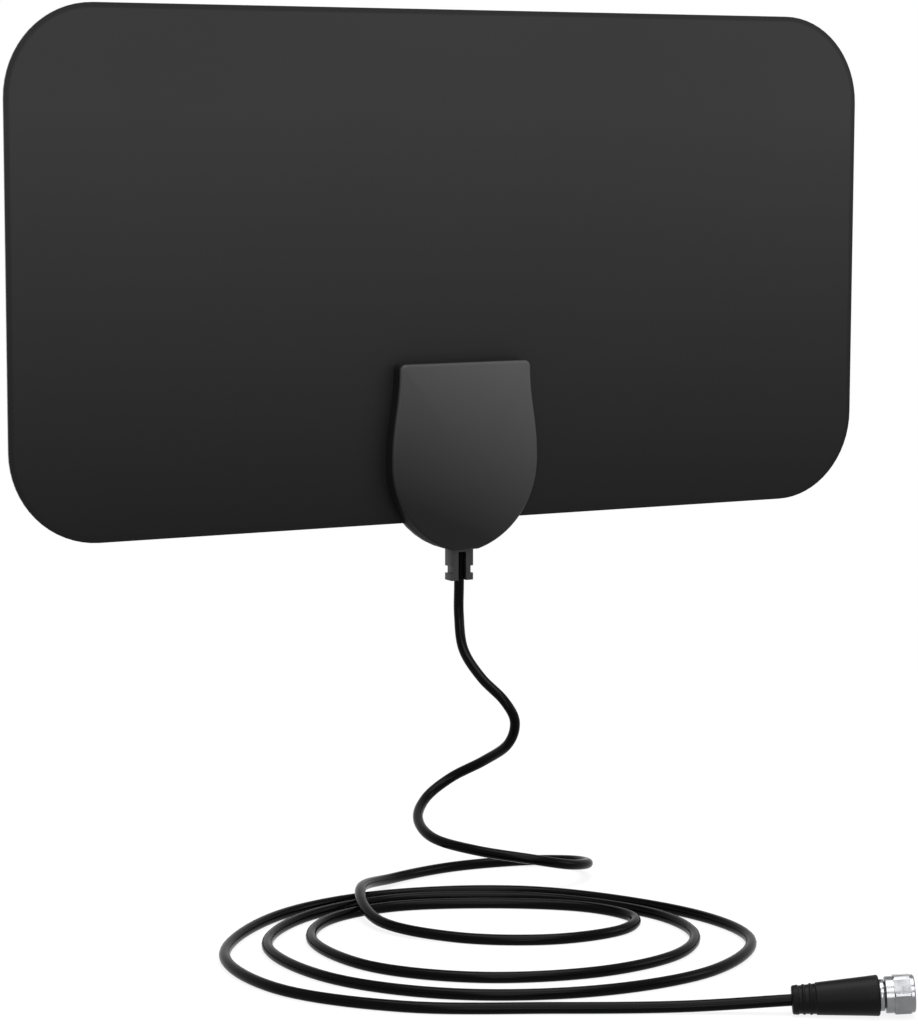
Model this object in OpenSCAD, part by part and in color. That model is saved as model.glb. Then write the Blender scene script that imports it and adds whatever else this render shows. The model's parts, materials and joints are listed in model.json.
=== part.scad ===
// Flat indoor television antenna: a thin laminated leaf with a moulded
// housing clamped over its lower edge, and a thin coaxial lead that ends
// in a screw-on plug. X is to the right, Y runs towards the wall and Z is
// up. The origin is on the flat back of the housing, where it is stuck
// to the wall. All sizes are in millimetres.

/* [Leaf] */
// Width of the leaf
leaf_w = 330; // [280:1:420]
// Height of the leaf
leaf_h = 175; // [150:1:260]
// Radius of the leaf's corners
leaf_corner_r = 31; // [5:1:60]
// How far the leaf reaches below the origin
leaf_drop = 22.5; // [21:0.5:26]
// Thickness of each outer film
film_t = 0.3; // [0.15:0.05:0.5]
// Thickness of the foil and of the bond film round it
foil_t = 0.1; // [0.05:0.05:0.2]
// Gap between the foil and the bond film round it
bond_gap = 0.3; // [0.2:0.1:1]
// Width of the slot in the leaf's lower edge, inside the housing
slot_w = 11; // [10:0.5:16]
// Height of the slot in the leaf's lower edge
slot_h = 11; // [9:0.5:14]

/* [Foil elements] */
// Gap between the two foil elements
element_gap = 16; // [12:1:24]
// Bare margin between the foil and the leaf's edge
element_margin = 9; // [5:1:20]
// Width of the foil band at the sides and at the top
band_w = 22; // [12:1:30]
// Height of the foil band at the foot
foot_band_h = 32; // [26:1:40]
// Height of the slit that opens each foil loop towards the middle
slit_h = 6; // [3:0.5:12]

/* [Housing] */
// Greatest width of the housing
housing_w = 57; // [54:0.5:66]
// Width of the housing at its top edge
housing_top_w = 51; // [46:0.5:54]
// Height of the housing's top edge above its widest place
housing_top = 32.5; // [29:0.5:40]
// Straight stretch of the side below the widest place
nose_drop = 2; // [0.5:0.5:4]
// Radius of the two arcs that close the housing's lower end
nose_r = 31.5; // [30.5:0.5:33]
// Width of the flat at the tip, where the lead comes out
tip_w = 10; // [9:0.5:11]
// Radius of the two upper corners
top_corner_r = 2.2; // [1.8:0.1:3]
// Depth of the back cover
back_depth = 2; // [1.9:0.1:3]
// Height of the front cover's side wall above the leaf
rim_h = 5.5; // [4.3:0.1:6.5]
// How far the front face bulges out beyond its rim
crown_h = 1.8; // [1:0.1:3]
// Radius of the front face's edge
edge_r = 1.1; // [0.6:0.1:1.4]
// Wall of the front cover
front_wall = 1.4; // [1.2:0.1:1.6]
// Wall and floor of the back cover
back_wall = 1.2; // [1:0.1:1.3]

/* [Pegs] */
// Distance of each peg from the middle line
peg_x = 19; // [17:0.5:20]
// Height of the upper pegs
peg_top_z = 24; // [22:0.5:25]
// Height of the lower pegs, below the origin
peg_low_z = 12; // [10:0.5:14]
// Diameter of a peg
peg_d = 2.5; // [2:0.1:3]
// Length of a peg in front of the leaf
peg_len = 2.6; // [2:0.1:2.8]
// Wall of the boss round a peg
boss_wall = 1.2; // [1:0.1:1.6]
// Radial clearance between a peg and its boss
peg_clear = 0.05; // [0.02:0.01:0.1]

/* [Strain relief] */
// Width of the strain relief
relief_w = 8.6; // [8:0.1:9]
// Depth of the strain relief
relief_t = 4.8; // [4.6:0.1:5]
// Length of the part outside the housing
relief_len = 11; // [9:0.5:16]
// Length of the lower collar
collar_len = 2.5; // [2:0.1:4]
// Length of the groove above the lower collar
groove_len = 2.5; // [1.5:0.1:3]
// Depth of the groove on each side
groove_d = 1; // [0.6:0.1:1.3]
// Width of the slot in front that shows the lead
window_w = 3; // [1.6:0.1:3.2]
// Length of the flange inside the housing
flange_len = 1.4; // [1:0.1:2]
// Width of the waist that the two covers grip
waist_w = 6.4; // [5.6:0.1:7]
// Clearance round the waist and the lead
fit_clear = 0.05; // [0.02:0.01:0.1]

/* [Circuit board] */
// Width of the circuit board
board_w = 22; // [18:0.5:26]
// Height of the circuit board
board_h = 24; // [20:0.5:26]
// Thickness of the circuit board
board_t = 1; // [0.8:0.1:1.2]
// Gap between the leaf and the circuit board
board_gap = 0.4; // [0.3:0.1:0.6]
// Width and height of each contact pad
contact_w = 4; // [3:0.5:4.5]
// Width of the transformer core
core_w = 6.4; // [5.5:0.1:8]
// Height of the transformer core
core_h = 4; // [3:0.1:5]
// Depth of the transformer core
core_t = 2.4; // [2:0.1:2.6]
// Diameter of each hole in the transformer core
core_hole_d = 1.5; // [1.3:0.1:1.6]
// Thickness of the transformer's wire
wire_t = 0.5; // [0.3:0.1:0.6]
// Length of each capacitor
chip_w = 2; // [1:0.1:3]
// Height of each capacitor above the board
chip_t = 0.8; // [0.4:0.1:1]

/* [Lead] */
// Diameter of the lead
lead_d = 3.5; // [3:0.1:3.6]
// Diameter of the lead's inner insulation
inner_d = 1.8; // [1.4:0.1:2.2]
// Diameter of the lead's inner wire
conductor_d = 0.6; // [0.4:0.1:0.8]
// Length of the clamp over the lead's inner end
clamp_len = 4; // [3:0.5:5]
// Wall of the clamp
clamp_wall = 1.4; // [1:0.1:2]

/* [Plug] */
// Length of the moulded boot
boot_len = 25; // [22:0.5:34]
// Diameter of the boot's thin end
boot_thin_d = 8.4; // [8:0.1:9]
// Diameter of the boot's thick end
boot_thick_d = 11.8; // [11:0.1:12.6]
// Length of the crimped sleeve on the lead
ferrule_len = 8.9; // [7:0.1:9]
// Wall of the crimped sleeve
ferrule_wall = 0.8; // [0.5:0.1:1]
// Wall thickness of the boot's thin end along the axis
boot_end_wall = 8; // [6:0.5:9]
// Diameter of the plug body inside the boot
barrel_d = 6.6; // [6:0.1:7]
// Diameter of the shoulder between boot and nut
shoulder_d = 9.2; // [9:0.1:10]
// Length of the shoulder
shoulder_len = 1.3; // [1:0.1:2]
// Diameter of the journal that the nut turns on
journal_d = 7.8; // [7.6:0.1:8]
// Diameter of the flange that keeps the nut on
keeper_d = 8.5; // [8.3:0.1:8.6]
// Length of the flange that keeps the nut on
keeper_len = 1.2; // [0.8:0.1:1.6]
// Diameter of the insulator in the plug
insulator_d = 4.6; // [4:0.1:5]
// Diameter of the centre pin
pin_d = 0.9; // [0.7:0.1:1.1]
// Diameter of the centre pin's crimped barrel in the insulator
pin_barrel_d = 1.6; // [1.4:0.1:2]
// Length of the centre pin's free cylinder
pin_free_len = 4.5; // [3:0.1:4.7]
// Length of the centre pin's pointed tip
pin_tip_len = 0.2; // [0.1:0.1:0.4]

/* [Nut] */
// Width of the nut across its flats
nut_flats = 11.1; // [11:0.1:12]
// Diameter of the nut's round skirt
skirt_d = 10.6; // [10:0.1:11]
// Length of the round skirt
skirt_len = 2.5; // [2:0.1:3]
// Length of the hexagonal part
hex_len = 4.8; // [4:0.1:6]
// Turn of the hexagon about the plug's axis, as the nut lies at rest
hex_turn = 18; // [0:1:59]
// Bevel of the hexagon's ends
hex_bevel = 0.5; // [0.2:0.1:0.8]
// Length of the round rim at the nut's mouth
rim_len = 1.2; // [0.8:0.1:1.6]
// Diameter of the rim at the nut's mouth
rim_d = 10.9; // [10.4:0.1:11]
// Inner diameter of the nut's thread
thread_d = 8.7; // [8.6:0.1:8.8]
// Radial clearance between the nut and its journal
spin_clear = 0.05; // [0.02:0.01:0.09]
// Clearance along the axis at each end of the nut's lip
end_clear = 0.3; // [0.2:0.05:0.4]
// Length of the nut's inner lip
lip_len = 1.8; // [1.4:0.1:2.2]

/* [Placing of the plug] */
// Sideways place of the boot's thin end
plug_x = -14.5; // [-30:0.5:0]
// Front-to-back place of the boot's thin end
plug_y = -229.3; // [-240:0.1:-220]
// Height of the boot's thin end
plug_z = -135.8; // [-136:0.1:-130]
// Turn of the plug about the upright axis
plug_turn = -31; // [-45:1:-15]
// Upward tilt of the plug, which lies on its nut
plug_tilt = 4; // [2:0.5:6]

/* [Hidden] */

// Overlap that keeps cuts clean, and how far a cut runs past an edge
e = 0.01;
over = 1;

// Depths, measured from the wall
leaf_back_y = -back_depth;
foil_y = leaf_back_y - film_t;
front_film_y = foil_y - foil_t;
leaf_front_y = front_film_y - film_t;
leaf_t = 2 * film_t + foil_t;
rim_y = leaf_front_y - rim_h;
board_back_y = leaf_front_y - board_gap;
board_front_y = board_back_y - board_t;
leaf_mid_z = leaf_h / 2 - leaf_drop;
slot_top_z = slot_h - leaf_drop;

// The lead leaves on this axis
relief_margin = 0.6;
waist_inset = 0.6;
lead_y = -relief_margin - relief_t / 2;
lead_r = lead_d / 2;
bore_r = lead_r + fit_clear;

// Outline of the housing, seen from the front, as points [x, z]
arc_shift = nose_r - housing_w / 2;
tip_angle = acos((tip_w / 2 + arc_shift) / nose_r);
tip_z = -nose_drop - nose_r * sin(tip_angle);
corner_steps = 4;
flank_steps = 8;
nose_steps = 10;
corner_points = [
  for (i = [0:corner_steps]) let (a = 90 - 90 * i / corner_steps)
    [housing_top_w / 2 - top_corner_r + top_corner_r * cos(a),
     housing_top - top_corner_r + top_corner_r * sin(a)]
];
flank_points = [
  for (i = [1:flank_steps]) let (t = i / flank_steps)
    [housing_top_w / 2 + (housing_w - housing_top_w) / 4 * (1 - cos(180 * t)),
     (housing_top - top_corner_r) * (1 - t)]
];
nose_points = [
  for (i = [0:nose_steps]) let (a = tip_angle * i / nose_steps)
    [nose_r * cos(a) - arc_shift, -nose_drop - nose_r * sin(a)]
];
right_side = concat(corner_points, flank_points, nose_points);
side_count = len(right_side);
shield = concat(
  right_side,
  [for (i = [1:side_count]) let (p = right_side[side_count - i]) [-p[0], p[1]]]
);
shield_count = len(shield);

// Unit normal of a piece of the outline, pointing inwards
function edge_normal(a, b) =
  let (t = (b - a) / norm(b - a)) [t[1], -t[0]];
// The outline moved inwards by a distance, corners kept square
function inset_shield(d) = [
  for (i = [0:shield_count - 1]) let (
    here = shield[i],
    before = edge_normal(shield[(i + shield_count - 1) % shield_count], here),
    after = edge_normal(here, shield[(i + 1) % shield_count])
  ) here + d * (before + after) / (1 + before * after)
];
// A ring of the outline at one depth, shrunk about the origin by a share
function shield_ring(d, y, share = 1) =
  [for (p = inset_shield(d)) [p[0] * share, y, p[1] * share]];

// Quarter-round edge of the front face, then its bulge
edge_steps = 3;
crown_shares = [0.82, 0.6, 0.38, 0.16];
function cover_rings(d, edge, face_y) = concat(
  [for (i = [0:edge_steps]) let (a = 90 * i / edge_steps)
    shield_ring(d + edge * (1 - cos(a)), face_y + edge * (1 - sin(a)))],
  [for (s = crown_shares)
    shield_ring(d + edge, face_y - crown_h * (1 - s * s), s)]
);

// The lead's route: exit, hanging turns, a turn back, then loose loops on
// the surface that the plug lies on, and the straight run to the plug
floor_z = -140;
lie_z = floor_z + lead_r;
plug_start = [plug_x, plug_y, plug_z];
plug_dir = [cos(plug_tilt) * cos(plug_turn), cos(plug_tilt) * sin(plug_turn),
            sin(plug_tilt)];
relief_top_z = tip_z + front_wall + flange_len;
exit_z = tip_z - relief_len;
lead_end_room = 5.5;
lead_end_z = slot_top_z - lead_end_room;
plug_gap = 0.1;
ferrule_start = boot_end_wall + plug_gap;
ferrule_end = ferrule_start + ferrule_len;
ferrule_over = 1;
lead_into_plug = ferrule_end - ferrule_over;
route = [
  [0, lead_y, lead_end_z], [0, lead_y, exit_z], [0, lead_y, -56],
  [-1.5, -9, -67], [0, -19, -75.5], [4, -28, -82.5], [7.5, -29.5, -90],
  [7, -25.5, -98.5], [4, -14, -106], [-4.5, -6, -112.5], [-15, -7, -118.5],
  [-24, -18, -123], [-27, -35, -126], [-20, -52, -127.5],
  [-6, -64, -129.5], [8, -66, -132.5], [20, -58, -135], [21, -44, -137],
  [8, -33, -138], [-17, -29, lie_z], [-44, -37, -137.5],
  [-67, -59, -133.8], [-75, -88, -137], [-61, -113, lie_z],
  [-37, -129, lie_z], [-12, -130, lie_z], [1, -118, lie_z],
  [-6, -98, lie_z], [-30, -80, lie_z], [-60, -69, lie_z],
  [-87, -75, lie_z], [-103, -98, lie_z], [-100, -132, lie_z],
  [-77, -158, lie_z], [-43, -169, lie_z], [-11, -163, lie_z],
  [8, -142, lie_z], [8, -112, lie_z], [-15, -79, lie_z],
  [-54, -61, lie_z], [-92, -68, lie_z], [-118, -96, lie_z],
  [-117, -137, lie_z], [-93, -170, lie_z], [-54, -187, lie_z],
  [-12, -184, lie_z], [19, -158, lie_z], [19, -118, lie_z],
  [-9, -73, lie_z], [-54, -54, lie_z], [-98, -62, lie_z],
  [-133, -97, lie_z], [-136, -140, lie_z], [-112, -175, lie_z],
  [-74, -197, lie_z], [-42, -213.5, -138], plug_start,
  plug_start + lead_into_plug * plug_dir
];
route_last = len(route) - 1;
long_step = 34;
lead_sides = 8;

// Smooth curve through the route's points
function route_at(i) =
  i < 0 ? 2 * route[0] - route[1]
  : i > route_last ? 2 * route[route_last] - route[route_last - 1]
  : route[i];
function curve(i, t) =
  let (a = route_at(i - 1), b = route_at(i), c = route_at(i + 1), d = route_at(i + 2))
    (2 * b + (c - a) * t + (2 * a - 5 * b + 4 * c - d) * t * t
     + (3 * b - a - 3 * c + d) * t * t * t) / 2;
lead_points = concat(
  [for (i = [0:route_last - 1])
    let (steps = norm(route[i + 1] - route[i]) > long_step && i > 1 ? 2 : 1)
      for (k = [0:steps - 1]) curve(i, k / steps)],
  [route[route_last]]
);
lead_last = len(lead_points) - 1;
function unit(v) = v / norm(v);
function lead_dir(i) =
  unit(lead_points[min(i + 1, lead_last)] - lead_points[max(i - 1, 0)]);
// Side direction of each ring, carried along so that the tube isn't twisted
function carried(v, t) = unit(v - (v * t) * t);
function side_dirs(i, v) =
  i > lead_last ? []
  : let (s = carried(v, lead_dir(i))) concat([s], side_dirs(i + 1, s));
lead_sides_dir = side_dirs(0, [1, 0, 0]);

// Places on the circuit board
chip_x = 6.5;
chip_z = -5;
contact_inset = 0.4;
contact_x = element_gap / 2 + contact_w / 2 + contact_inset;
contact_z = 0;
wire_r = conductor_d / 2;

// Places along the plug's axis
seat_gap = 0.05;
barrel_start = ferrule_end + plug_gap;
shoulder_start = boot_len + seat_gap;
journal_start = shoulder_start + shoulder_len;
nut_start = journal_start + end_clear;
lip_end = nut_start + lip_len;
keeper_start = lip_end + end_clear;
plug_face = keeper_start + keeper_len;
hex_start = nut_start + skirt_len;
rim_start = hex_start + hex_len;
nut_end = rim_start + rim_len;
keeper_room = 0.3;

// Extrudes a front view from depth y towards the front by t
module lay(y, t) {
  translate([0, y, 0]) rotate([90, 0, 0]) linear_extrude(t) children();
}

// Closed skin through a list of rings with equal numbers of points
module skin(rings) {
  n = len(rings[0]);
  last = len(rings) - 1;
  points = [for (r = rings) for (p = r) p];
  sides = [
    for (j = [0:last - 1]) for (i = [0:n - 1]) let (
      a = j * n + i, b = j * n + (i + 1) % n, c = b + n, d = a + n
    ) each [[a, b, c], [a, c, d]]
  ];
  first_cap = [for (i = [0:n - 1]) n - 1 - i];
  last_cap = [for (i = [0:n - 1]) last * n + i];
  polyhedron(points, concat(sides, [first_cap, last_cap]));
}

// Flat shapes of the leaf

module leaf_outline() {
  dx = leaf_w / 2 - leaf_corner_r;
  dz = leaf_h / 2 - leaf_corner_r;
  translate([0, leaf_mid_z]) union() {
    square([leaf_w, 2 * dz], center = true);
    square([2 * dx, leaf_h], center = true);
    for (x = [-dx, dx], z = [-dz, dz])
      translate([x, z]) circle(leaf_corner_r, $fn = 96);
  }
}

module peg_places() {
  for (x = [-peg_x, peg_x], z = [-peg_low_z, peg_top_z])
    translate([x, z]) children();
}

module peg_holes(room) {
  peg_places() circle(peg_d / 2 + room, $fn = 32);
}

module edge_slot() {
  translate([-slot_w / 2, -leaf_drop - over]) square([slot_w, slot_h + over]);
}

module contact_square(room) {
  size = contact_w + 2 * room;
  square(size, center = true);
}

// One foil element: a loop with round outer corners and an open slit
module element_shape(grow = 0) {
  left = element_gap / 2 - grow;
  right = leaf_w / 2 - element_margin + grow;
  low = element_margin - leaf_drop - grow;
  high = leaf_h - leaf_drop - element_margin + grow;
  corner = leaf_corner_r - element_margin + grow;
  band = band_w + 2 * grow;
  window_low = low + foot_band_h + 2 * grow;
  slit = slit_h - 2 * grow;
  difference() {
    union() {
      translate([left, low]) square([right - left - corner, high - low]);
      translate([left, low + corner])
        square([right - left, high - low - 2 * corner]);
      for (z = [low + corner, high - corner])
        translate([right - corner, z]) circle(corner, $fn = 64);
    }
    translate([left + band, window_low])
      square([right - left - 2 * band, high - band - window_low]);
    translate([left - over, leaf_mid_z - slit / 2])
      square([band + 2 * over, slit]);
  }
}

// Room round the pegs in the films and in the foil, and round the contacts
film_hole_room = 0.4;
foil_hole_room = 1;
contact_room = 0.3;

module film_shape() {
  difference() {
    leaf_outline();
    edge_slot();
    peg_holes(film_hole_room);
  }
}

module back_film() {
  color("#1c1c1e") lay(leaf_back_y, film_t) film_shape();
}

module bond_film() {
  color("#c9c6b8") lay(foil_y, foil_t) difference() {
    film_shape();
    element_shape(bond_gap);
    mirror([1, 0]) element_shape(bond_gap);
  }
}

module foil_element() {
  lay(foil_y, foil_t) difference() {
    element_shape();
    peg_holes(foil_hole_room);
  }
}

module element_right() {
  color("#c8a878") foil_element();
}

module element_left() {
  color("#c8a878") mirror([1, 0, 0]) foil_element();
}

module front_film() {
  color("#2e2e30") lay(front_film_y, film_t) difference() {
    film_shape();
    for (s = [-1, 1]) translate([s * contact_x, contact_z])
      contact_square(contact_room);
  }
}

// Housing

// Box round the lead's axis, from one depth to another
module lead_box(w, y_front, y_back, z_low, z_high) {
  translate([-w / 2, y_front, z_low]) cube([w, y_back - y_front, z_high - z_low]);
}

waist_t = relief_t - waist_inset;
waist_front_y = lead_y - waist_t / 2;
waist_back_y = lead_y + waist_t / 2;

module back_cover() {
  leaf_room = 0.3;
  channel_room = 0.5;
  channel_deep = 0.3;
  step_z = -leaf_drop - leaf_room;
  color("#232325") difference() {
    union() {
      lay(0, back_depth) polygon(shield);
      intersection() {
        lay(-back_depth + e, leaf_t + e) polygon(shield);
        lead_box(housing_w, leaf_front_y, 0, tip_z - over, step_z);
      }
      peg_places_3d() {
        pad_r = peg_d / 2 + boss_wall;
        translate([0, 0, back_wall - e])
          cylinder(r = pad_r, h = back_depth - back_wall + e, $fn = 48);
        cylinder(d = peg_d, h = back_depth + leaf_t + peg_len, $fn = 48);
      }
    }
    difference() {
      lay(-back_wall, back_depth + leaf_t) polygon(inset_shield(back_wall));
      peg_places_3d() cylinder(r = peg_d / 2 + boss_wall, h = back_depth, $fn = 48);
      peg_places_3d()
        cylinder(d = peg_d, h = back_depth + leaf_t + peg_len + over, $fn = 48);
    }
    lead_box(waist_w + 2 * fit_clear, leaf_front_y - over,
             waist_back_y + fit_clear, tip_z - over, relief_top_z);
    lead_box(relief_w + 2 * fit_clear, leaf_front_y - over,
             waist_back_y + fit_clear, tip_z + front_wall - fit_clear,
             relief_top_z + fit_clear);
    lead_box(lead_d + 2 * channel_room, leaf_front_y - over,
             lead_y + lead_r + channel_deep, tip_z, lead_end_z + over);
  }
}

// Pegs and bosses stand on this frame, upwards out of the back cover
module peg_places_3d() {
  rotate([90, 0, 0]) peg_places() children();
}

module front_cover() {
  outer = cover_rings(0, edge_r, rim_y);
  inner = cover_rings(front_wall, edge_r / 2, rim_y + front_wall);
  foot = shield_ring(0, leaf_front_y);
  inner_foot = shield_ring(front_wall, leaf_front_y + over);
  boss_r = peg_d / 2 + boss_wall;
  peg_room = 0.3;
  cover_depth = -rim_y + crown_h;
  color("#3a3a3d") difference() {
    skin(concat([foot], outer));
    difference() {
      skin(concat([inner_foot], inner));
      peg_places_3d() cylinder(r = boss_r, h = 2 * cover_depth, $fn = 48);
      board_rails();
    }
    peg_places_3d() translate([0, 0, back_depth - e])
      cylinder(r = peg_d / 2 + peg_clear, h = leaf_t + peg_len + peg_room, $fn = 48);
    lead_box(waist_w + 2 * fit_clear, waist_front_y - fit_clear,
             leaf_front_y + over, tip_z - over, tip_z + front_wall + over);
    lead_box(relief_w + 2 * fit_clear, lead_y - relief_t / 2 - fit_clear,
             leaf_front_y + over, tip_z + front_wall - fit_clear,
             relief_top_z + fit_clear);
  }
}

// Two rails under the front face that hold the circuit board down
module board_rails() {
  rail_w = 1.2;
  for (s = [-1, 1])
    translate([s * (board_w / 2 - rail_w) - rail_w / 2, rim_y - crown_h,
               -board_h / 4])
      cube([rail_w, board_front_y - rim_y + crown_h, board_h / 2]);
}

// Circuit board and what is on it

module circuit_board() {
  color("#2f6b45") lay(board_back_y, board_t)
    square([board_w, board_h], center = true);
}

core_z = 4;
core_hole_x = core_w / 4;

module transformer_core() {
  color("#4a4a4c") difference() {
    translate([-core_w / 2, board_front_y - core_t, core_z - core_h / 2])
      cube([core_w, core_t, core_h]);
    for (s = [-1, 1])
      translate([s * core_hole_x, board_front_y - core_t / 2, core_z - core_h])
        cylinder(d = core_hole_d, h = 2 * core_h, $fn = 32);
  }
}

// A flat loop through both holes, with two feet on the board
module transformer_winding() {
  wide = 2 * core_hole_x + wire_t;
  high = core_h + 2 * wire_t;
  foot_z = core_z - high / 2;
  color("#b5652b") union() {
    lay(board_front_y - core_t / 2 + wire_t / 2, wire_t)
      translate([0, core_z]) difference() {
        square([wide, high], center = true);
        square([wide - 2 * wire_t, core_h], center = true);
      }
    for (x = [-wide / 2, wide / 2 - wire_t])
      translate([x, board_front_y - core_t / 2, foot_z])
        cube([wire_t, core_t / 2, wire_t]);
  }
}

module capacitor(x) {
  lay(board_front_y, chip_t) translate([x, chip_z])
    square([chip_w, chip_w / 2], center = true);
}

module capacitor_left() {
  color("#8d7b5a") capacitor(-chip_x);
}

module capacitor_right() {
  color("#8d7b5a") capacitor(chip_x);
}

module contact_pad() {
  lay(front_film_y, film_t + board_gap) contact_square(0);
}

module contact_left() {
  color("#c9a24a") translate([-contact_x, 0, contact_z]) contact_pad();
}

module contact_right() {
  color("#c9a24a") translate([contact_x, 0, contact_z]) contact_pad();
}

// A bridge over the lead that stands on the back cover's floor
module cable_clamp() {
  side_room = 0.6;
  bridge_t = 0.7;
  end_room = 1.5;
  foot_t = 0.5;
  shelf = clamp_wall + 1;
  half = slot_w / 2 - side_room;
  top_y = lead_y - lead_r - fit_clear - bridge_t;
  clamp_z = lead_end_z - end_room - clamp_len;
  color("#b8bcc0") difference() {
    lead_box(2 * half, top_y, -back_wall, clamp_z, clamp_z + clamp_len);
    lead_box(lead_d + 2 * fit_clear, lead_y - lead_r - fit_clear, 0,
             clamp_z - over, clamp_z + clamp_len + over);
    for (s = [-1, 1])
      translate([s * (lead_r + shelf) - (s > 0 ? 0 : half), top_y - over,
                 clamp_z - over])
        cube([half, over + leaf_front_y - top_y - foot_t, clamp_len + 2 * over]);
  }
}

// Straight wire with round ends between two points
module wire(a, b, r) {
  hull() {
    translate(a) sphere(r, $fn = 16);
    translate(b) sphere(r, $fn = 16);
  }
}

inner_end_room = 0.8;
inner_end_z = -board_h / 2 - inner_end_room;
wire_y = board_front_y - wire_r;

module cable_core() {
  bend = 0.3;
  sink = 0.1;
  joint_len = 4.5;
  wire_foot = [0, lead_y, inner_end_z - bend];
  wire_knee = [0, wire_y - sink, inner_end_z + bend];
  color("#d9d4c6") union() {
    translate([0, lead_y, lead_end_z])
      cylinder(d = inner_d, h = inner_end_z - lead_end_z, $fn = 32);
    wire(wire_foot, wire_knee, wire_r);
    wire(wire_knee, [0, wire_y, inner_end_z + joint_len], wire_r);
  }
}

module braid_tail() {
  r = 0.35;
  lift = 0.4;
  knee_x = 2.4;
  end_x = 3;
  joint_len = 3.5;
  foot = [lead_r - r, lead_y, lead_end_z + r];
  knee = [knee_x, wire_y - lift, inner_end_z];
  color("#b9a98c") union() {
    wire(foot, knee, r);
    wire(knee, [end_x, board_front_y - r, inner_end_z + joint_len], r);
  }
}

// Strain relief: a flange inside, a waist in the covers' opening, and a
// block outside with a groove, a lower collar and an open slot on the lead
module strain_relief() {
  front_y = lead_y - relief_t / 2;
  back_y = lead_y + relief_t / 2;
  groove_z = exit_z + collar_len;
  window_room = 1;
  window_high = tip_z - window_room;
  color("#2b2b2d") difference() {
    union() {
      lead_box(relief_w, front_y, waist_back_y, tip_z + front_wall, relief_top_z);
      lead_box(waist_w, waist_front_y, waist_back_y, tip_z - over, relief_top_z);
      lead_box(relief_w, front_y, back_y, groove_z + groove_len, tip_z);
      lead_box(relief_w - 2 * groove_d, front_y, back_y, groove_z - over,
               groove_z + groove_len + over);
      lead_box(relief_w, front_y, back_y, exit_z, groove_z);
    }
    translate([0, lead_y, exit_z - over])
      cylinder(r = bore_r, h = relief_top_z - exit_z + 2 * over, $fn = 48);
    lead_box(window_w, front_y - over, lead_y, exit_z - over, window_high);
  }
}

// Lead and plug

module cable() {
  rings = [
    for (i = [0:lead_last]) let (
      t = lead_dir(i), s = lead_sides_dir[i], u = cross(t, s)
    ) [for (k = [0:lead_sides - 1]) let (a = 360 * k / lead_sides)
        lead_points[i] + lead_r * (cos(a) * s + sin(a) * u)]
  ];
  color("#151516") skin([for (i = [0:lead_last]) rings[lead_last - i]]);
}

// Puts a piece on the plug's axis, which is upright while it is drawn
module on_plug(s = 0) {
  translate(plug_start) rotate([0, -plug_tilt, plug_turn]) rotate([0, 90, 0])
    translate([0, 0, s]) children();
}

module ring(outer_d, bore_d, h) {
  difference() {
    cylinder(d = outer_d, h = h, $fn = 64);
    translate([0, 0, -over]) cylinder(d = bore_d, h = h + 2 * over, $fn = 64);
  }
}

// Moulded boot, drawn as half of its section and turned
module connector_boot() {
  thin_r = boot_thin_d / 2;
  thick_r = boot_thick_d / 2;
  slope = (thick_r - thin_r) / boot_len;
  groove_w = 0.8;
  groove_deep = 0.5;
  groove_pitch = 2;
  groove_count = 3;
  edge = 0.5;
  barrel_room = barrel_d / 2 + fit_clear;
  grooves = [
    for (i = [1:groove_count]) let (s = i * groove_pitch)
      each [[thin_r + slope * s, s], [thin_r - groove_deep, s + groove_w / 4],
            [thin_r - groove_deep, s + groove_w * 3 / 4],
            [thin_r + slope * (s + groove_w), s + groove_w]]
  ];
  section = concat(
    [[bore_r, 0], [thin_r - edge, 0], [thin_r, edge]], grooves,
    [[thick_r, boot_len - edge], [thick_r - edge, boot_len],
     [barrel_room, boot_len], [barrel_room, boot_end_wall],
     [bore_r, boot_end_wall]]
  );
  color("#1a1a1b") on_plug() rotate_extrude($fn = 72) polygon(section);
}

module crimp_ferrule() {
  outer = lead_d + 2 * (fit_clear + ferrule_wall);
  color("#b9bcc0") on_plug(ferrule_start) ring(outer, 2 * bore_r, ferrule_len);
}

module connector_body() {
  bore = insulator_d + 2 * fit_clear;
  color("#cfd2d6") on_plug() difference() {
    union() {
      translate([0, 0, barrel_start])
        cylinder(d = barrel_d, h = plug_face - barrel_start, $fn = 64);
      translate([0, 0, shoulder_start])
        cylinder(d = shoulder_d, h = shoulder_len, $fn = 64);
      translate([0, 0, journal_start - e])
        cylinder(d = journal_d, h = keeper_start - journal_start + 2 * e, $fn = 64);
      translate([0, 0, keeper_start])
        cylinder(d = keeper_d, h = keeper_len, $fn = 64);
    }
    translate([0, 0, barrel_start - over])
      cylinder(d = bore, h = plug_face - barrel_start + 2 * over, $fn = 64);
  }
}

module insulator() {
  hole = pin_barrel_d + 2 * fit_clear;
  color("#e9e6dc") on_plug(barrel_start) ring(insulator_d, hole,
                                              plug_face - barrel_start);
}

module centre_pin() {
  pin_barrel_start = lead_into_plug + seat_gap;
  color("#c9a86a") on_plug() union() {
    translate([0, 0, pin_barrel_start])
      cylinder(d = pin_barrel_d, h = plug_face - pin_barrel_start, $fn = 32);
    translate([0, 0, plug_face - e])
      cylinder(d = pin_d, h = pin_free_len + e, $fn = 32);
    translate([0, 0, plug_face + pin_free_len])
      cylinder(d1 = pin_d, d2 = pin_d / 2, h = pin_tip_len, $fn = 32);
  }
}

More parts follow.
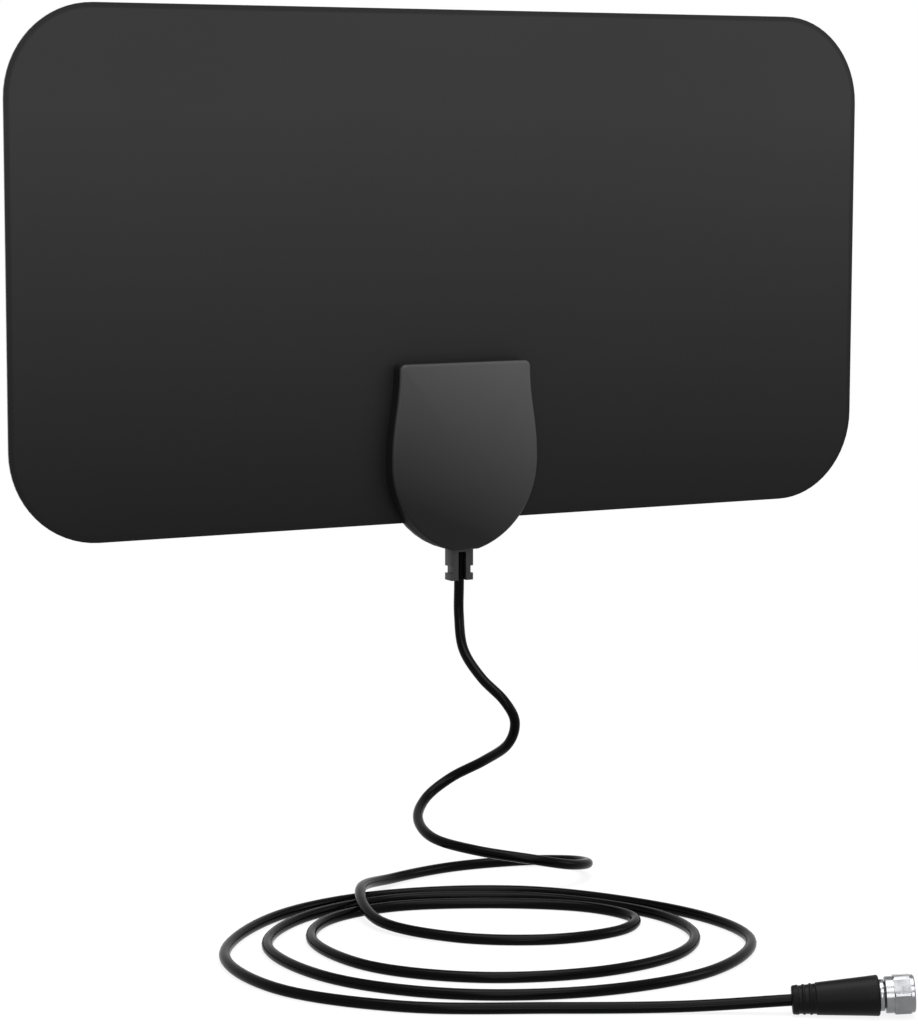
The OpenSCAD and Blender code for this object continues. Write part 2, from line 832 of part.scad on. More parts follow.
module coupling_nut() {
  nut_len = nut_end - nut_start;
  corner_d = nut_flats / cos(30);
  end_r = corner_d / 2 - hex_bevel;
  rise = 2 * hex_bevel;
  color("#c3c6ca") on_plug(nut_start) difference() {
    union() {
      cylinder(d = skirt_d, h = skirt_len + e, $fn = 64);
      translate([0, 0, skirt_len]) intersection() {
        rotate([0, 0, hex_turn]) cylinder(d = corner_d, h = hex_len, $fn = 6);
        rotate_extrude($fn = 64) polygon([
          [0, 0], [end_r, 0], [end_r + rise, rise],
          [end_r + rise, hex_len - rise], [end_r, hex_len], [0, hex_len]
        ]);
      }
      translate([0, 0, nut_len - rim_len - e])
        cylinder(d = rim_d, h = rim_len + e, $fn = 64);
    }
    translate([0, 0, -over])
      cylinder(r = journal_d / 2 + spin_clear, h = lip_len + 2 * over, $fn = 64);
    translate([0, 0, lip_len])
      cylinder(r = keeper_d / 2 + keeper_room,
               h = 2 * end_clear + keeper_len, $fn = 64);
    translate([0, 0, lip_len + end_clear])
      cylinder(d = thread_d, h = nut_len, $fn = 64);
  }
}

back_film();
bond_film();
element_left();
element_right();
front_film();
back_cover();
front_cover();
circuit_board();
transformer_core();
transformer_winding();
capacitor_left();
capacitor_right();
contact_left();
contact_right();
cable_clamp();
cable_core();
braid_tail();
strain_relief();
cable();
connector_boot();
crimp_ferrule();
connector_body();
insulator();
centre_pin();
coupling_nut();
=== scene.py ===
"""Flat indoor television antenna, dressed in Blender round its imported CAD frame.

Sizes are in millimetres inside this file and become metres where a mesh is made. X is to the right, Y runs
towards the wall and Z is up, with the origin on the flat back of the housing.
"""
import json
import math

import bmesh
import bpy
from bpy.props import FloatProperty, FloatVectorProperty, IntProperty, PointerProperty
from mathutils import Matrix, Vector

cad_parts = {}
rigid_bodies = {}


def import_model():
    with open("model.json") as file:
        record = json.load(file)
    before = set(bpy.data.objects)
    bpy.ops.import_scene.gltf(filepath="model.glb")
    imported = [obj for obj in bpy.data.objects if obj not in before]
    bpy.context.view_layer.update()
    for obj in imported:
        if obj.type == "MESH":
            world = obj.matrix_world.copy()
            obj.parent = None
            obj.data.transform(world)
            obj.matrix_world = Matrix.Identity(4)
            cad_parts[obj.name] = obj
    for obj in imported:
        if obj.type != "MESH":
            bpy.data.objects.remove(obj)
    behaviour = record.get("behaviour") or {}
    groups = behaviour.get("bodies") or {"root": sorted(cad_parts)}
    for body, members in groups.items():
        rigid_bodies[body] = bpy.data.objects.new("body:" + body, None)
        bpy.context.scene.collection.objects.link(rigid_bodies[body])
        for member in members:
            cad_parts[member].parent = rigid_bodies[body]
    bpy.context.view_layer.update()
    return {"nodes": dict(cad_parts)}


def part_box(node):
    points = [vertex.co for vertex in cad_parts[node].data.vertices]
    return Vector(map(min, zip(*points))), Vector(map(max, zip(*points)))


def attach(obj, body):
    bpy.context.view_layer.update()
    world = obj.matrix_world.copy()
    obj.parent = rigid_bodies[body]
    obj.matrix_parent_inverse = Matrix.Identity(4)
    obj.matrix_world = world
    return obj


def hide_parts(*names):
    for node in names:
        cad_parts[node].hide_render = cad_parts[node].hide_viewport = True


bl_info = {
    "name": "Indoor television antenna",
    "version": (1, 0, 0),
    "blender": (4, 5, 0),
    "location": "View3D > Sidebar > Antenna",
    "description": "Builds the leaf, housing, lead and plug of a flat indoor antenna",
    "category": "Object",
}

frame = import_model()

MM = 0.001
ROOT = "antenna"
NUT = "nut"


def corner(node, side):
    """The lowest (side 0) or highest (side 1) corner of a CAD node, in millimetres."""
    return [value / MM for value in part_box(node)[side]]


def tone(code):
    """A colour written as six hexadecimal digits, as linear numbers with an alpha."""
    values = [int(code[i:i + 2], 16) / 255 for i in (0, 2, 4)]
    return tuple(v / 12.92 if v <= 0.04045 else ((v + 0.055) / 1.055) ** 2.4 for v in values) + (1.0,)


def size(name, text, value, low=0.0, high=400.0):
    return FloatProperty(name=name, description=text, default=value, min=low, max=high, precision=3)


def colour(name, text, code):
    return FloatVectorProperty(
        name=name, description=text, default=tone(code), min=0.0, max=1.0, size=4, subtype="COLOR"
    )


def angle(name, text, degrees):
    return FloatProperty(name=name, description=text, default=math.radians(degrees), subtype="ANGLE")


class LeafSettings(bpy.types.PropertyGroup):
    """Sizes and colours of the laminated leaf, in millimetres."""

    corner_r: size("Corner radius", "Radius of the leaf's corners", 31.0)
    seal_w: size("Seal width", "Width of the leaf's sealed border", 1.8)
    grain: size("Grain size", "Size of the film's fine grain", 0.45)
    # Painted light: the upper colour is the film lit from above and the lower colour is the film in shade,
    # faded between them up to the fade top.
    top_colour: colour("Upper colour", "Colour of the film's upper part", "262627")
    foot_colour: colour("Lower colour", "Colour of the film's lower part", "070708")
    fade_top: size("Fade top", "Height at which the film is palest", 118.0)
    foil_colour: colour("Foil colour", "Colour of the foil between the films", "c4c6c8")
    bond_colour: colour("Bond colour", "Colour of the bond film", "b9b6aa")


class HousingSettings(bpy.types.PropertyGroup):
    """Outline and colours of the moulded housing, in millimetres."""

    width: size("Width", "Greatest width of the housing", 57.0)
    top_width: size("Top width", "Width at the top edge", 51.0)
    top: size("Top", "Height of the top edge above the widest place", 32.5)
    nose_drop: size("Nose drop", "Straight stretch of the side below the widest place", 2.0)
    nose_r: size("Nose radius", "Radius of the arcs that close the lower end", 31.5)
    tip_width: size("Tip width", "Width of the flat where the lead comes out", 10.0)
    corner_r: size("Corner radius", "Radius of the upper corners", 2.2)
    edge_r: size("Edge radius", "Radius of the front face's edge", 1.1)
    crown: size("Crown", "How far the front face bulges", 1.8)
    wall: size("Wall", "Wall of the front cover", 1.4)
    soft_edge: size("Edge softness", "Bevel of the back cover's edges", 0.25)
    # Painted light and shade: the face colour is the lit upper right, the foot colour the shaded lower end,
    # and the side colour the side wall in shadow.
    face_colour: colour("Face colour", "Colour of the front face's upper right", "3b3b3c")
    foot_colour: colour("Foot colour", "Colour of the front face's lower end", "0b0b0c")
    side_colour: colour("Side colour", "Colour of the side wall", "050506")
    back_colour: colour("Back colour", "Colour of the back cover", "121213")


class ReliefSettings(bpy.types.PropertyGroup):
    """Finish of the strain relief, in millimetres."""

    soft_edge: size("Edge softness", "Bevel of the relief's edges", 0.3)
    colour: colour("Colour", "Colour of the strain relief", "1e1e1f")


class LeadSettings(bpy.types.PropertyGroup):
    """Size and colour of the coaxial lead, in millimetres."""

    diameter: size("Diameter", "Diameter of the jacket", 3.5)
    steps: IntProperty(name="Steps", description="Curve points between two route points", default=10, min=2)
    colour: colour("Colour", "Colour of the jacket", "030303")


class PlugSettings(bpy.types.PropertyGroup):
    """Sizes, place and colours of the plug, in millimetres."""

    x: size("Place X", "Sideways place of the boot's thin end", -14.5, -400.0)
    y: size("Place Y", "Front-to-back place of the boot's thin end", -229.3, -400.0)
    z: size("Place Z", "Height of the boot's thin end", -135.8, -400.0)
    turn: angle("Turn", "Turn of the plug about the upright axis", -31.0)
    tilt: angle("Tilt", "Upward tilt of the plug", 4.0)
    boot_len: size("Boot length", "Length of the moulded boot", 25.0)
    boot_thin_d: size("Boot thin end", "Diameter of the boot's thin end", 8.4)
    boot_thick_d: size("Boot thick end", "Diameter of the boot's thick end", 11.8)
    boot_end_wall: size("Boot end wall", "Length of the boot's solid thin end", 8.0)
    barrel_d: size("Barrel", "Diameter of the plug body inside the boot", 6.6)
    grip_count: IntProperty(name="Grips", description="Raised rings on the boot", default=2, min=0)
    grip_pitch: size("Grip pitch", "Distance between the boot's rings", 2.0)
    grip_first: size("First grip", "Place of the first ring from the thin end", 3.4)
    grip_r: size("Grip radius", "Radius of a ring's section", 0.6)
    grip_start: size("Grip start", "Start of the recess between the rings", 2.0)
    grip_end: size("Grip end", "End of the recess between the rings", 6.8)
    grip_deep: size("Grip depth", "Depth of the recess between the rings", 0.28)
    nut_flats: size("Nut across flats", "Width of the nut across its flats", 11.1)
    hex_turn: angle("Hexagon turn", "Turn of the hexagon about the plug's axis", 18.0)
    skirt_d: size("Skirt diameter", "Diameter of the nut's round skirt", 10.6)
    skirt_len: size("Skirt length", "Length of the nut's round skirt", 2.5)
    hex_len: size("Hexagon length", "Length of the nut's hexagon", 4.8)
    rim_d: size("Rim diameter", "Diameter of the rim at the mouth", 10.9)
    rim_len: size("Rim length", "Length of the rim at the mouth", 1.2)
    thread_d: size("Thread diameter", "Inner diameter of the nut's thread", 8.7)
    thread_pitch: size("Thread pitch", "Pitch of the nut's thread", 0.794)
    thread_deep: size("Thread depth", "Depth of the nut's thread", 0.36)
    journal_d: size("Journal diameter", "Diameter of the nut's journal", 7.8)
    keeper_d: size("Keeper diameter", "Diameter of the flange in the nut", 8.5)
    lip_len: size("Lip length", "Length of the nut's inner lip", 1.8)
    boot_colour: colour("Boot colour", "Colour of the boot", "050506")
    metal_colour: colour("Metal colour", "Colour of the plated metal", "7c7d7f")
    pin_colour: colour("Pin colour", "Colour of the centre pin", "b98a5c")
    insulator_colour: colour("Insulator colour", "Colour of the insulator", "e4e0d4")


class InsideSettings(bpy.types.PropertyGroup):
    """Colours of the pieces inside the housing."""

    board_colour: colour("Board colour", "Colour of the circuit board", "2f6b45")
    ferrite_colour: colour("Ferrite colour", "Colour of the transformer's core", "3c3c3e")
    ceramic_colour: colour("Ceramic colour", "Colour of the capacitors", "8d7b5a")
    copper_colour: colour("Copper colour", "Colour of the winding and the braid", "c07040")
    gold_colour: colour("Gold colour", "Colour of the contacts", "cda650")
    steel_colour: colour("Steel colour", "Colour of the cable clamp", "b8bcc0")


class StageSettings(bpy.types.PropertyGroup):
    """Camera and floor, in millimetres."""

    camera_x: size("Camera X", "Sideways place of the camera", -529.15, -2000.0, 2000.0)
    camera_y: size("Camera Y", "Front-to-back place of the camera", -968.88, -2000.0, 2000.0)
    camera_z: size("Camera Z", "Height of the camera", 115.07, -2000.0, 2000.0)
    yaw: angle("Yaw", "Turn of the view from straight ahead", 28.712)
    pitch: angle("Pitch", "Downward tilt of the view", 6.982)
    roll: angle("Roll", "Roll of the view", -0.15)
    focal_px: size("Focal length", "Focal length in pixels of the photograph", 3197.6, 1.0, 9000.0)
    floor_z: size("Floor", "Height of the floor", -140.0, -400.0)
    floor_colour: colour("Floor colour", "Colour of the floor", "f4f4f4")


SETTINGS = {
    "antenna_leaf": LeafSettings,
    "antenna_housing": HousingSettings,
    "antenna_relief": ReliefSettings,
    "antenna_lead": LeadSettings,
    "antenna_plug": PlugSettings,
    "antenna_inside": InsideSettings,
    "antenna_stage": StageSettings,
}

# Depths, heights and clearances that the CAD settles, in millimetres
LEAF_FRONT_Y = corner("front_film", 0)[1]
RIM_DEPTH = 5.5
LEAD_Y = -3.0
LIE_ON_Z = -140.0
LEAD_INTO_PLUG = 16.0
BORE_CLEAR = 0.05
KEEPER_CLEAR = 0.3
KEEPER_LEN = 1.2
NUT_START = 26.65

# Photograph and sensor
IMAGE_HEIGHT_PX = 1024
SENSOR_MM = 36.0

# Place and target in metres, width, height and power of each lamp; the strength of the world's light
LAMPS = {
    "key": ((-0.5, -1.5, 1.3), (0.0, 0.0, 0.02), 1.2, 0.9, 17.0),
    "top": ((-0.05, -0.2, 1.15), (-0.05, -0.15, -0.14), 1.0, 0.9, 17.0),
    "front": ((-0.75, -1.6, 0.1), (-0.02, -0.1, -0.1), 0.45, 0.8, 6.0),
    "side": ((1.5, -1.0, 0.7), (0.0, 0.0, 0.0), 0.8, 0.9, 8.0),
}
WORLD_LIGHT = 0.42


# Meshes

def add_object(name, mesh, material, smooth_angle=30.0):
    """Links a mesh as an object at the origin, smooth but for edges sharper than the angle."""
    mesh.materials.clear()
    mesh.materials.append(material)
    mesh.shade_smooth()
    mesh.set_sharp_from_angle(angle=math.radians(smooth_angle))
    thing = bpy.data.objects.new(name, mesh)
    bpy.context.scene.collection.objects.link(thing)
    return thing


def finished(bm, name):
    """Ends a bmesh: faces point outwards, and it becomes a mesh in metres."""
    bmesh.ops.recalc_face_normals(bm, faces=bm.faces)
    mesh = bpy.data.meshes.new(name)
    bm.to_mesh(mesh)
    bm.free()
    mesh.transform(Matrix.Scale(MM, 4))
    return mesh


def loft(name, rings, closed=False, cap_start=False, cap_end=False):
    """A skin through rings of equal length; a closed one runs back from the last to the first."""
    bm = bmesh.new()
    rows = [[bm.verts.new(point) for point in ring] for ring in rings]
    pairs = list(zip(rows, rows[1:]))
    if closed:
        pairs.append((rows[-1], rows[0]))
    count = len(rows[0])
    for low, high in pairs:
        for i in range(count):
            j = (i + 1) % count
            bm.faces.new((low[i], low[j], high[j], high[i]))
    if cap_start:
        bm.faces.new(reversed(rows[0]))
    if cap_end:
        bm.faces.new(rows[-1])
    return finished(bm, name)


def plug_matrix(plug):
    """From the plug's own axes, with Z along the plug, to the row's frame."""
    return (
        Matrix.Translation((plug.x, plug.y, plug.z))
        @ Matrix.Rotation(plug.turn, 4, "Z")
        @ Matrix.Rotation(-plug.tilt, 4, "Y")
        @ Matrix.Rotation(math.radians(90), 4, "Y")
    )


def turned(name, profile, place, segments=96):
    """A closed section of (along, radius) points turned about the plug's axis."""
    rings = []
    for along, radius in profile:
        ring = []
        for i in range(segments):
            a = 2 * math.pi * i / segments
            ring.append(place @ Vector((radius * math.cos(a), radius * math.sin(a), along)))
        rings.append(ring)
    return loft(name, rings, closed=True)


def evaluated(thing, name):
    """The plain mesh that an object's modifiers give."""
    graph = bpy.context.evaluated_depsgraph_get()
    mesh = bpy.data.meshes.new_from_object(thing.evaluated_get(graph))
    mesh.name = name
    return mesh


def softened(node, name, width, material):
    """A copy of a CAD node with its edges rounded, as moulded or turned pieces have them."""
    bm = bmesh.new()
    bm.from_mesh(frame["nodes"][node].data)
    bmesh.ops.remove_doubles(bm, verts=bm.verts, dist=0.002 * MM)
    bmesh.ops.dissolve_limit(bm, angle_limit=math.radians(0.5), verts=bm.verts, edges=bm.edges)
    mesh = bpy.data.meshes.new(name)
    bm.to_mesh(mesh)
    bm.free()
    thing = add_object(name, mesh, material)
    bevel = thing.modifiers.new("soft edges", "BEVEL")
    bevel.width = width * MM
    bevel.segments = 2
    bevel.limit_method = "ANGLE"
    bevel.angle_limit = math.radians(40)
    mesh = evaluated(thing, name)
    bpy.data.objects.remove(thing)
    piece = add_object(name, mesh, material, 40)
    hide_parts(node)
    return piece


# Shader groups and materials

def feed(tree, socket, value):
    """Links another socket to an input, or gives the input a plain value."""
    if isinstance(value, bpy.types.NodeSocket):
        tree.links.new(value, socket)
    else:
        socket.default_value = value


def fill(tree, node, **values):
    """Feeds a node's inputs by name, with _ for a space."""
    for label, value in values.items():
        feed(tree, node.inputs[label.replace("_", " ")], value)
    return node


def shader_node(tree, kind, **values):
    """A new shader node with its inputs fed."""
    return fill(tree, tree.nodes.new("ShaderNode" + kind), **values)


def group_tree(name, inputs, outputs):
    """A new shader group with a vector input and number sockets, given as (name, value) and name."""
    tree = bpy.data.node_groups.new(name, "ShaderNodeTree")
    tree.interface.new_socket("Vector", in_out="INPUT", socket_type="NodeSocketVector")
    for label, value in inputs:
        tree.interface.new_socket(label, in_out="INPUT", socket_type="NodeSocketFloat").default_value = value
    for label in outputs:
        tree.interface.new_socket(label, in_out="OUTPUT", socket_type="NodeSocketFloat")
    return tree, tree.nodes.new("NodeGroupInput").outputs, tree.nodes.new("NodeGroupOutput")


def maths(tree, operation, *values):
    """A Math node; the values are sockets or numbers."""
    node = tree.nodes.new("ShaderNodeMath")
    node.operation = operation
    for socket, value in zip(node.inputs, values):
        feed(tree, socket, value)
    return node.outputs[0]


def mix_colour(tree, factor, a, b):
    """A colour mix; a and b are sockets or colours."""
    node = tree.nodes.new("ShaderNodeMix")
    node.data_type = "RGBA"
    feed(tree, node.inputs["Factor"], factor)
    feed(tree, node.inputs[6], a)
    feed(tree, node.inputs[7], b)
    return node.outputs[2]


def shared(build):
    """Makes a shader group at its first use and finds it again later."""
    name = build.__name__.replace("_", " ")
    return lambda: bpy.data.node_groups.get(name) or build(name)


@shared
def moulded_grain(name):
    """Fine grain of a moulded or calendered plastic: a height and a slow change of shade."""
    tree, given, end = group_tree(name, [("Grain", 2000.0), ("Cloud", 30.0)], ["Height", "Shade"])
    cells = tree.nodes.new("ShaderNodeTexVoronoi")
    cells.feature = "SMOOTH_F1"
    fill(tree, cells, Vector=given["Vector"], Scale=given["Grain"], Smoothness=0.7)
    fine = shader_node(tree, "TexNoise", Vector=given["Vector"], Scale=given["Grain"], Detail=4.0)
    cloud = shader_node(tree, "TexNoise", Vector=given["Vector"], Scale=given["Cloud"], Detail=3.0)
    height = maths(tree, "ADD", maths(tree, "MULTIPLY", cells.outputs["Distance"], 0.6),
                   maths(tree, "MULTIPLY", fine.outputs["Fac"], 0.6))
    fill(tree, end, Height=height, Shade=cloud.outputs["Fac"])
    return tree


@shared
def leaf_seal(name):
    """How near a point is to the leaf's edge: 1 in the sealed border, 0 inside it."""
    tree, given, end = group_tree(
        name, [("Half Width", 0.165), ("Half Height", 0.0875), ("Centre", 0.065), ("Corner", 0.031),
               ("Border", 0.003)], ["Mask", "Height"])
    split = shader_node(tree, "SeparateXYZ", Vector=given["Vector"])
    up = maths(tree, "SUBTRACT", split.outputs["Z"], given["Centre"])
    parts = []
    for value, half in ((split.outputs["X"], "Half Width"), (up, "Half Height")):
        inner = maths(tree, "SUBTRACT", given[half], given["Corner"])
        parts.append(maths(tree, "SUBTRACT", maths(tree, "ABSOLUTE", value), inner))
    outside = [maths(tree, "MAXIMUM", part, 0.0) for part in parts]
    squares = [maths(tree, "MULTIPLY", part, part) for part in outside]
    far = maths(tree, "SQRT", maths(tree, "ADD", squares[0], squares[1]))
    near = maths(tree, "MINIMUM", maths(tree, "MAXIMUM", parts[0], parts[1]), 0.0)
    edge = maths(tree, "SUBTRACT", maths(tree, "ADD", far, near), given["Corner"])
    share = maths(tree, "DIVIDE", maths(tree, "ADD", edge, given["Border"]), given["Border"])
    mask = tree.nodes.new("ShaderNodeMapRange")
    mask.interpolation_type = "SMOOTHSTEP"
    fill(tree, mask, From_Min=-0.25, From_Max=0.25, Value=share)
    fill(tree, end, Mask=mask.outputs["Result"], Height=maths(tree, "SUBTRACT", 1.0, mask.outputs["Result"]))
    return tree


@shared
def turning_marks(name):
    """Fine rings that a lathe leaves round the plug's axis, as a height and a shade."""
    tree, given, end = group_tree(name, [("Rings", 9000.0)], ["Height", "Shade"])
    split = shader_node(tree, "SeparateXYZ", Vector=given["Vector"])
    drawn = {label: maths(tree, "MULTIPLY", split.outputs[label], share)
             for label, share in (("X", 0.02), ("Y", 0.02), ("Z", 1.0))}
    join = shader_node(tree, "CombineXYZ", **drawn)
    rings = shader_node(tree, "TexNoise", Vector=join.outputs[0], Scale=given["Rings"], Detail=5.0)
    cloud = shader_node(tree, "TexNoise", Vector=given["Vector"], Scale=350.0)
    fill(tree, end, Height=rings.outputs["Fac"], Shade=cloud.outputs["Fac"])
    return tree


def new_material(name, roughness, metallic=0.0, specular=0.5):
    """A material with its Principled shader; returns the material, its tree and the shader."""
    material = bpy.data.materials.new(name)
    material.use_nodes = True
    tree = material.node_tree
    shader = tree.nodes["Principled BSDF"]
    fill(tree, shader, Roughness=roughness, Metallic=metallic, Specular_IOR_Level=specular)
    return material, tree, shader


def object_vector(tree):
    """The place in the object's own axes."""
    return tree.nodes.new("ShaderNodeTexCoord").outputs["Object"]


def place_group(tree, group, **values):
    """Puts a shader group in a material and feeds its inputs."""
    node = tree.nodes.new("ShaderNodeGroup")
    node.node_tree = group
    return fill(tree, node, **values)


def ranged(tree, value, low, high, start=0.0, end=1.0):
    """A value brought from start..end to low..high."""
    node = shader_node(tree, "MapRange", Value=value, From_Min=start, From_Max=end, To_Min=low, To_Max=high)
    return node.outputs["Result"]


def clouded(tree, group, low=0.0, high=1.0, start=0.3, end=0.7):
    """A shader group's slow change of shade, brought from start..end to low..high."""
    return ranged(tree, group.outputs["Shade"], low, high, start, end)


def bump(tree, shader, height, distance):
    """Feeds a height into the shader's normal; distance is in metres."""
    node = shader_node(tree, "Bump", Distance=distance, Height=height)
    fill(tree, shader, Normal=node.outputs[0])


def scaled(value, share):
    """A colour made darker or lighter."""
    return tuple(min(1.0, part * share) for part in value[:3]) + (1.0,)


def plastic(name, base, roughness, grain_mm=0.4, relief=0.000006, shade=0.12, specular=0.5):
    """A moulded plastic with a fine grain and a slow change of shade."""
    material, tree, shader = new_material(name, roughness, specular=specular)
    grain = place_group(tree, moulded_grain(), Vector=object_vector(tree), Grain=1.0 / (grain_mm * MM))
    fill(tree, shader,
         Base_Color=mix_colour(tree, clouded(tree, grain), scaled(base, 1 - shade), scaled(base, 1 + shade)),
         Roughness=clouded(tree, grain, roughness - 0.04, roughness + 0.04))
    bump(tree, shader, grain.outputs["Height"], relief)
    return material


def jacket_material(name, base, relief_z):
    """The lead's glossy jacket, dull where it lies inside the strain relief's slot, and there painted nearly
    black as shade.
    """
    material, tree, shader = new_material(name, 0.22, specular=0.045)
    vector = object_vector(tree)
    grain = place_group(tree, moulded_grain(), Vector=vector, Grain=1.0 / (0.3 * MM))
    split = shader_node(tree, "SeparateXYZ", Vector=vector)
    # The part of the lead inside the relief's slot, for its painted shade and its duller gloss.
    inside = ranged(tree, split.outputs["Z"], 0.0, 1.0, relief_z * MM, (relief_z + 0.6) * MM)
    cloudy = clouded(tree, grain)
    shade = mix_colour(tree, cloudy, scaled(base, 0.9), scaled(base, 1.1))
    rough = maths(tree, "ADD", ranged(tree, inside, 0.2, 0.85), maths(tree, "MULTIPLY", cloudy, 0.05))
    # Painted shade: inside the slot the jacket's colour is darkened to a fifth.
    fill(tree, shader, Base_Color=mix_colour(tree, inside, shade, scaled(base, 0.2)), Roughness=rough)
    bump(tree, shader, grain.outputs["Height"], 0.000002)
    return material


def film_material(name, leaf, low_z, high_z):
    """The leaf's satin film with a sealed border, and painted light that makes it paler towards the top and
    darker towards the foot.
    """
    material, tree, shader = new_material(name, 0.48, specular=0.12)
    vector = object_vector(tree)
    grain = place_group(tree, moulded_grain(), Vector=vector, Grain=1.0 / (leaf.grain * MM), Cloud=9.0)
    seal = place_group(
        tree, leaf_seal(), Vector=vector, Half_Width=corner("front_film", 1)[0] * MM,
        Half_Height=(high_z - low_z) / 2 * MM, Centre=(high_z + low_z) / 2 * MM,
        Corner=leaf.corner_r * MM, Border=leaf.seal_w * MM,
    )
    split = shader_node(tree, "SeparateXYZ", Vector=vector)
    # Painted light and shade: the film fades from its shaded lower colour to its lit upper colour with
    # height.
    height = ranged(tree, split.outputs["Z"], 0.0, 1.0, low_z * MM, leaf.fade_top * MM)
    painted_light_sheet = mix_colour(tree, height, leaf.foot_colour, leaf.top_colour)
    cloudy = clouded(tree, grain)
    mottled = mix_colour(tree, maths(tree, "MULTIPLY", cloudy, 0.12), painted_light_sheet, scaled(leaf.foot_colour, 0.8))
    bordered = mix_colour(tree, maths(tree, "MULTIPLY", seal.outputs["Mask"], 0.45), mottled,
                          scaled(leaf.foot_colour, 0.7))
    fill(tree, shader, Base_Color=bordered,
         Roughness=clouded(tree, grain, 0.44, 0.52))
    surface = maths(tree, "ADD", maths(tree, "MULTIPLY", grain.outputs["Height"], 0.15),
                    seal.outputs["Height"])
    bump(tree, shader, surface, 0.00004)
    return material


def housing_material(name, shell, rim_y):
    """The front cover: a satin face with painted light that pales it to the upper right and painted shade at
    its lower end, over a side wall painted dark as shade.
    """
    material, tree, shader = new_material(name, 0.5, specular=0.15)
    vector = object_vector(tree)
    grain = place_group(tree, moulded_grain(), Vector=vector, Grain=1.0 / (0.35 * MM))
    split = shader_node(tree, "SeparateXYZ", Vector=vector)
    # Painted light and shade: the face is made paler to the upper right and darker towards its lower end.
    lean, fade_foot, fade_top = 0.45, -26.0, 38.0
    across = maths(tree, "ADD", maths(tree, "MULTIPLY", split.outputs["X"], lean), split.outputs["Z"])
    face = mix_colour(tree, ranged(tree, across, 0.0, 1.0, fade_foot * MM, fade_top * MM),
                      shell.foot_colour, shell.face_colour)
    # Painted shade: the side wall behind the rim is made nearly black.
    wall = ranged(tree, split.outputs["Y"], 0.0, 1.0, (rim_y + 0.5) * MM, (rim_y + 1.4) * MM)
    fill(tree, shader, Base_Color=mix_colour(tree, wall, face, shell.side_colour),
         Roughness=maths(tree, "ADD", ranged(tree, wall, 0.46, 0.8), clouded(tree, grain, -0.04, 0.04)))
    bump(tree, shader, grain.outputs["Height"], 0.000008)
    return material


def plated(name, base, plug, roughness=0.16):
    """Bright plated metal with the fine rings of turning round the plug's axis."""
    material, tree, shader = new_material(name, roughness, metallic=1.0)
    mapping = tree.nodes.new("ShaderNodeMapping")
    mapping.vector_type = "TEXTURE"
    place = plug_matrix(plug)
    fill(tree, mapping, Vector=object_vector(tree), Location=place.to_translation() * MM,
         Rotation=place.to_euler())
    marks = place_group(tree, turning_marks(), Vector=mapping.outputs[0])
    share = clouded(tree, marks, 0.0, 1.0, 0.35, 0.65)
    fill(tree, shader, Base_Color=mix_colour(tree, share, scaled(base, 0.86), base),
         Roughness=ranged(tree, share, roughness - 0.05, roughness + 0.08))
    bump(tree, shader, marks.outputs["Height"], 0.000004)
    return material


def foil_material(name, base):
    """Rolled foil with fine lines along the leaf."""
    material, tree, shader = new_material(name, 0.3, metallic=1.0)
    stretch = shader_node(tree, "Mapping", Vector=object_vector(tree), Scale=(0.02, 1.0, 1.0))
    lines = shader_node(tree, "TexNoise", Vector=stretch.outputs[0], Scale=900.0)
    fill(tree, shader, Base_Color=mix_colour(tree, lines.outputs["Fac"], scaled(base, 0.8), base),
         Roughness=ranged(tree, lines.outputs["Fac"], 0.24, 0.4))
    return material


def dress(node, material):
    """Gives a CAD node its material."""
    mesh = frame["nodes"][node].data
    mesh.materials.clear()
    mesh.materials.append(material)


# Lead

def lead_route(lead, plug):
    """The lead's route in millimetres: relief, hanging turns, loose loops, plug."""
    inner_z = corner("cable_core", 0)[2]
    relief_z = corner("strain_relief", 0)[2]
    lie = LIE_ON_Z + lead.diameter / 2
    axis = plug_matrix(plug).to_3x3() @ Vector((0, 0, 1))
    start = Vector((plug.x, plug.y, plug.z))
    route = [
        (0, LEAD_Y, inner_z), (0, LEAD_Y, relief_z), (0, LEAD_Y, -56),
        (-1.5, -9, -67), (0, -19, -75.5), (4, -28, -82.5), (7.5, -29.5, -90),
        (7, -25.5, -98.5), (4, -14, -106), (-4.5, -6, -112.5), (-15, -7, -118.5),
        (-24, -18, -123), (-27, -35, -126), (-20, -52, -127.5),
        (-6, -64, -129.5), (8, -66, -132.5), (20, -58, -135), (21, -44, -137),
        (8, -33, -138), (-17, -29, lie), (-44, -37, -137.5),
        (-67, -59, -133.8), (-75, -88, -137), (-61, -113, lie),
        (-37, -129, lie), (-12, -130, lie), (1, -118, lie),
        (-6, -98, lie), (-30, -80, lie), (-60, -69, lie),
        (-87, -75, lie), (-103, -98, lie), (-100, -132, lie),
        (-77, -158, lie), (-43, -169, lie), (-11, -163, lie),
        (8, -142, lie), (8, -112, lie), (-15, -79, lie),
        (-54, -61, lie), (-92, -68, lie), (-118, -96, lie),
        (-117, -137, lie), (-93, -170, lie), (-54, -187, lie),
        (-12, -184, lie), (19, -158, lie), (19, -118, lie),
        (-9, -73, lie), (-54, -54, lie), (-98, -62, lie),
        (-133, -97, lie), (-136, -140, lie), (-112, -175, lie),
        (-74, -197, lie), (-42, -213.5, -138), tuple(start),
        tuple(start + LEAD_INTO_PLUG * axis),
    ]
    return [Vector(point) for point in route]


def smooth_route(points, steps):
    """Points of the smooth curve through the route, as the CAD's tube follows it."""
    ends = [2 * points[0] - points[1], *points, 2 * points[-1] - points[-2]]
    curve = []
    for a, b, c, d in zip(ends, ends[1:], ends[2:], ends[3:]):
        for k in range(steps):
            t = k / steps
            curve.append((2 * b + (c - a) * t + (2 * a - 5 * b + 4 * c - d) * t ** 2
                          + (3 * b - a - 3 * c + d) * t ** 3) / 2)
    curve.append(points[-1])
    return curve


